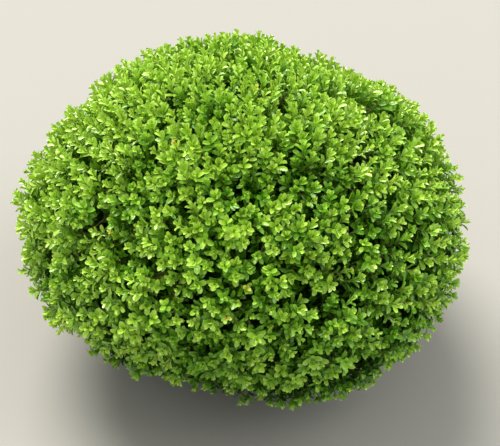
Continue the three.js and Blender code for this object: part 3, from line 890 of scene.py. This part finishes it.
def leafTone(rows):
    # Young at the tips of strong sprigs, older inwards by age, and a few golden tips. The age also carries
    # painted shade underneath and in sheltered places, and painted light on the top and the lit sides.
    pair, sprig = rows["pair"], rows["sprig"]
    first = layerValues("ageing", sprig)
    rise = sprigs["direction"][sprig, 2]
    # Painted light and shade: the tone is lighter above the middle and darker below it.
    vigour = sprigs["vigour"][sprig] + np.where(rise > 0, ageing["above"] * rise, -ageing["below"] * rise**2)
    vigour = vigour + paintedSpotLight(sprigs["direction"][sprig])
    # Painted shade: leaves underneath take darker tones.
    ageAndShade = (pair + first) * (1 + ageing["underneath"] * np.maximum(0, -rise))
    # Painted shade: leaves between tufts and in the hollows take darker tones.
    ageAndShade = ageAndShade + ageing["shelterShade"] * (sprigs["shelterShade"][sprig] - ageing["usualShelter"])
    ageAndShade = ageAndShade - ageing["vigour"] * (vigour - ageing["usualVigour"])
    tone = np.select([ageAndShade < limit for limit in toneLimits.values()], list(toneLimits), "shaded")
    golden = chance(sprigs["seed"][sprig], 44) < ageing["goldenShare"]
    return np.where(golden & (pair < ageing["goldenPairs"]) & (first == 0), "golden", tone)


def leafBladeNames(rows):
    # The outline that each leaf gets, by its sprig's layer and its pair.
    pair, sprig = rows["pair"], rows["sprig"]
    finer = ["full", "middling", "plain"]
    ends = np.cumsum([layerValues(key, sprig) for key in finer], axis=0)
    return np.select([pair < end for end in ends], finer, "coarse")


def makeLeaves():
    # One piece for each tone in each tier.
    rows = growLeaves()
    tone, bladeName = leafTone(rows), leafBladeNames(rows)
    tierOf = masses["tier"][sprigs["mass"][rows["sprig"]]]
    for tier in tiers:
        for name, material in leafMaterials.items():
            chosen = (tone == name) & (tierOf == tier["name"])
            if not chosen.any():
                continue
            parts = []
            for kind, blade in blades.items():
                some = chosen & (bladeName == kind)
                parts.append(leafMesh({key: value[some] for key, value in rows.items()}, blade))
            vertices, faces = joinParts(parts)
            marks = {key: np.concatenate([part[2][key] for part in parts]) for key in ("across", "along")}
            pieceName = f"leaves_{tier['name']}_{name}"
            makePiece(pieceName, "leaves", vertices, faces, material, foliageNodes(tier["name"]), marks)
    print("leaves:", len(tone))


tufts = planTufts()
print("tufts laid out:", len(tufts["mass"]))
plans = [planSprigs(layer, number) for number, layer in enumerate(sprigLayers)]
sprigs = {key: np.concatenate([plan[key] for plan in plans]) for key in plans[0]}
print("sprigs laid out:", len(sprigs["seed"]))
makeTwigs()
makeLeaves()
print("twigs and leaves made")

# Floor, lights and camera. A light's width is in degrees.
stage = {
    "floorColour": colour((150, 148, 143)), "floorRoughness": 0.9, "floorHalf": 40.0,
    "skyTint": (0.94, 0.96, 0.90, 1.0), "skyStrength": 0.56,
    "lights": named(("name", "place", "width", "strength", "tint"), [
        ("key", (-0.7, 1.3, 2.3), 36, 5.5, (1.0, 0.97, 0.90)),
        ("overhead", (0.0, 0.0, 3.0), 130, 1.0, (0.98, 0.99, 0.98)),
        ("fill", (1.6, 0.0, 1.8), 40, 1.1, (0.98, 0.99, 0.98)),
    ]),
    "cameraDistance": 1.47, "cameraElevation": 41.0, "lens": 72.0,
    "aimRight": 0.012, "aimDown": 0.029,
}


def makeFloor():
    # A plain square at ground level.
    size = stage["floorHalf"]
    mesh = bpy.data.meshes.new("floor")
    corners = [(-size, -size, 0), (size, -size, 0), (size, size, 0), (-size, size, 0)]
    mesh.from_pydata(corners, [], [(0, 1, 2, 3)])
    floor = addObject("floor", mesh)
    material = bpy.data.materials.new("floor_paint")
    material.use_nodes = True
    shader = material.node_tree.nodes["Principled BSDF"].inputs
    shader["Base Color"].default_value = stage["floorColour"]
    shader["Roughness"].default_value = stage["floorRoughness"]
    mesh.materials.append(material)


def setLooking(thing, place, back):
    # Puts a light or a camera in its place, looking away from this direction.
    thing.location = place
    thing.rotation_mode = "QUATERNION"
    thing.rotation_quaternion = Vector(back).to_track_quat("Z", "Y")


def addLight(light):
    # A soft distant light, which shines from its place to the middle of the ball.
    data = bpy.data.lights.new(light["name"], "SUN")
    data.angle = np.radians(light["width"])
    data.energy = light["strength"]
    data.color = light["tint"]
    place = Vector(light["place"])
    setLooking(addObject(light["name"], data), place, place - Vector(middle))


def makeStage():
    # The floor, the lights and an even sky, with colours shown as they are.
    makeFloor()
    for light in stage["lights"]:
        addLight(light)
    world = bpy.data.worlds.new("sky")
    world.use_nodes = True
    background = world.node_tree.nodes["Background"].inputs
    background["Color"].default_value = stage["skyTint"]
    background["Strength"].default_value = stage["skyStrength"]
    bpy.context.scene.world = world
    bpy.context.scene.view_settings.view_transform = "Standard"


def makeCamera():
    # The camera looks along +Y, down on a point a little right of and below the middle.
    e = np.radians(stage["cameraElevation"])
    back = np.array([0, -np.cos(e), np.sin(e)])
    upward = np.array([0, np.sin(e), np.cos(e)])
    aim = np.array([stage["aimRight"], 0, crown["middle"]]) - upward * stage["aimDown"]
    data = bpy.data.cameras.new("camera")
    data.lens = stage["lens"]
    camera = addObject("camera", data)
    setLooking(camera, aim + back * stage["cameraDistance"], back)
    bpy.context.scene.camera = camera


makeStage()
makeCamera()
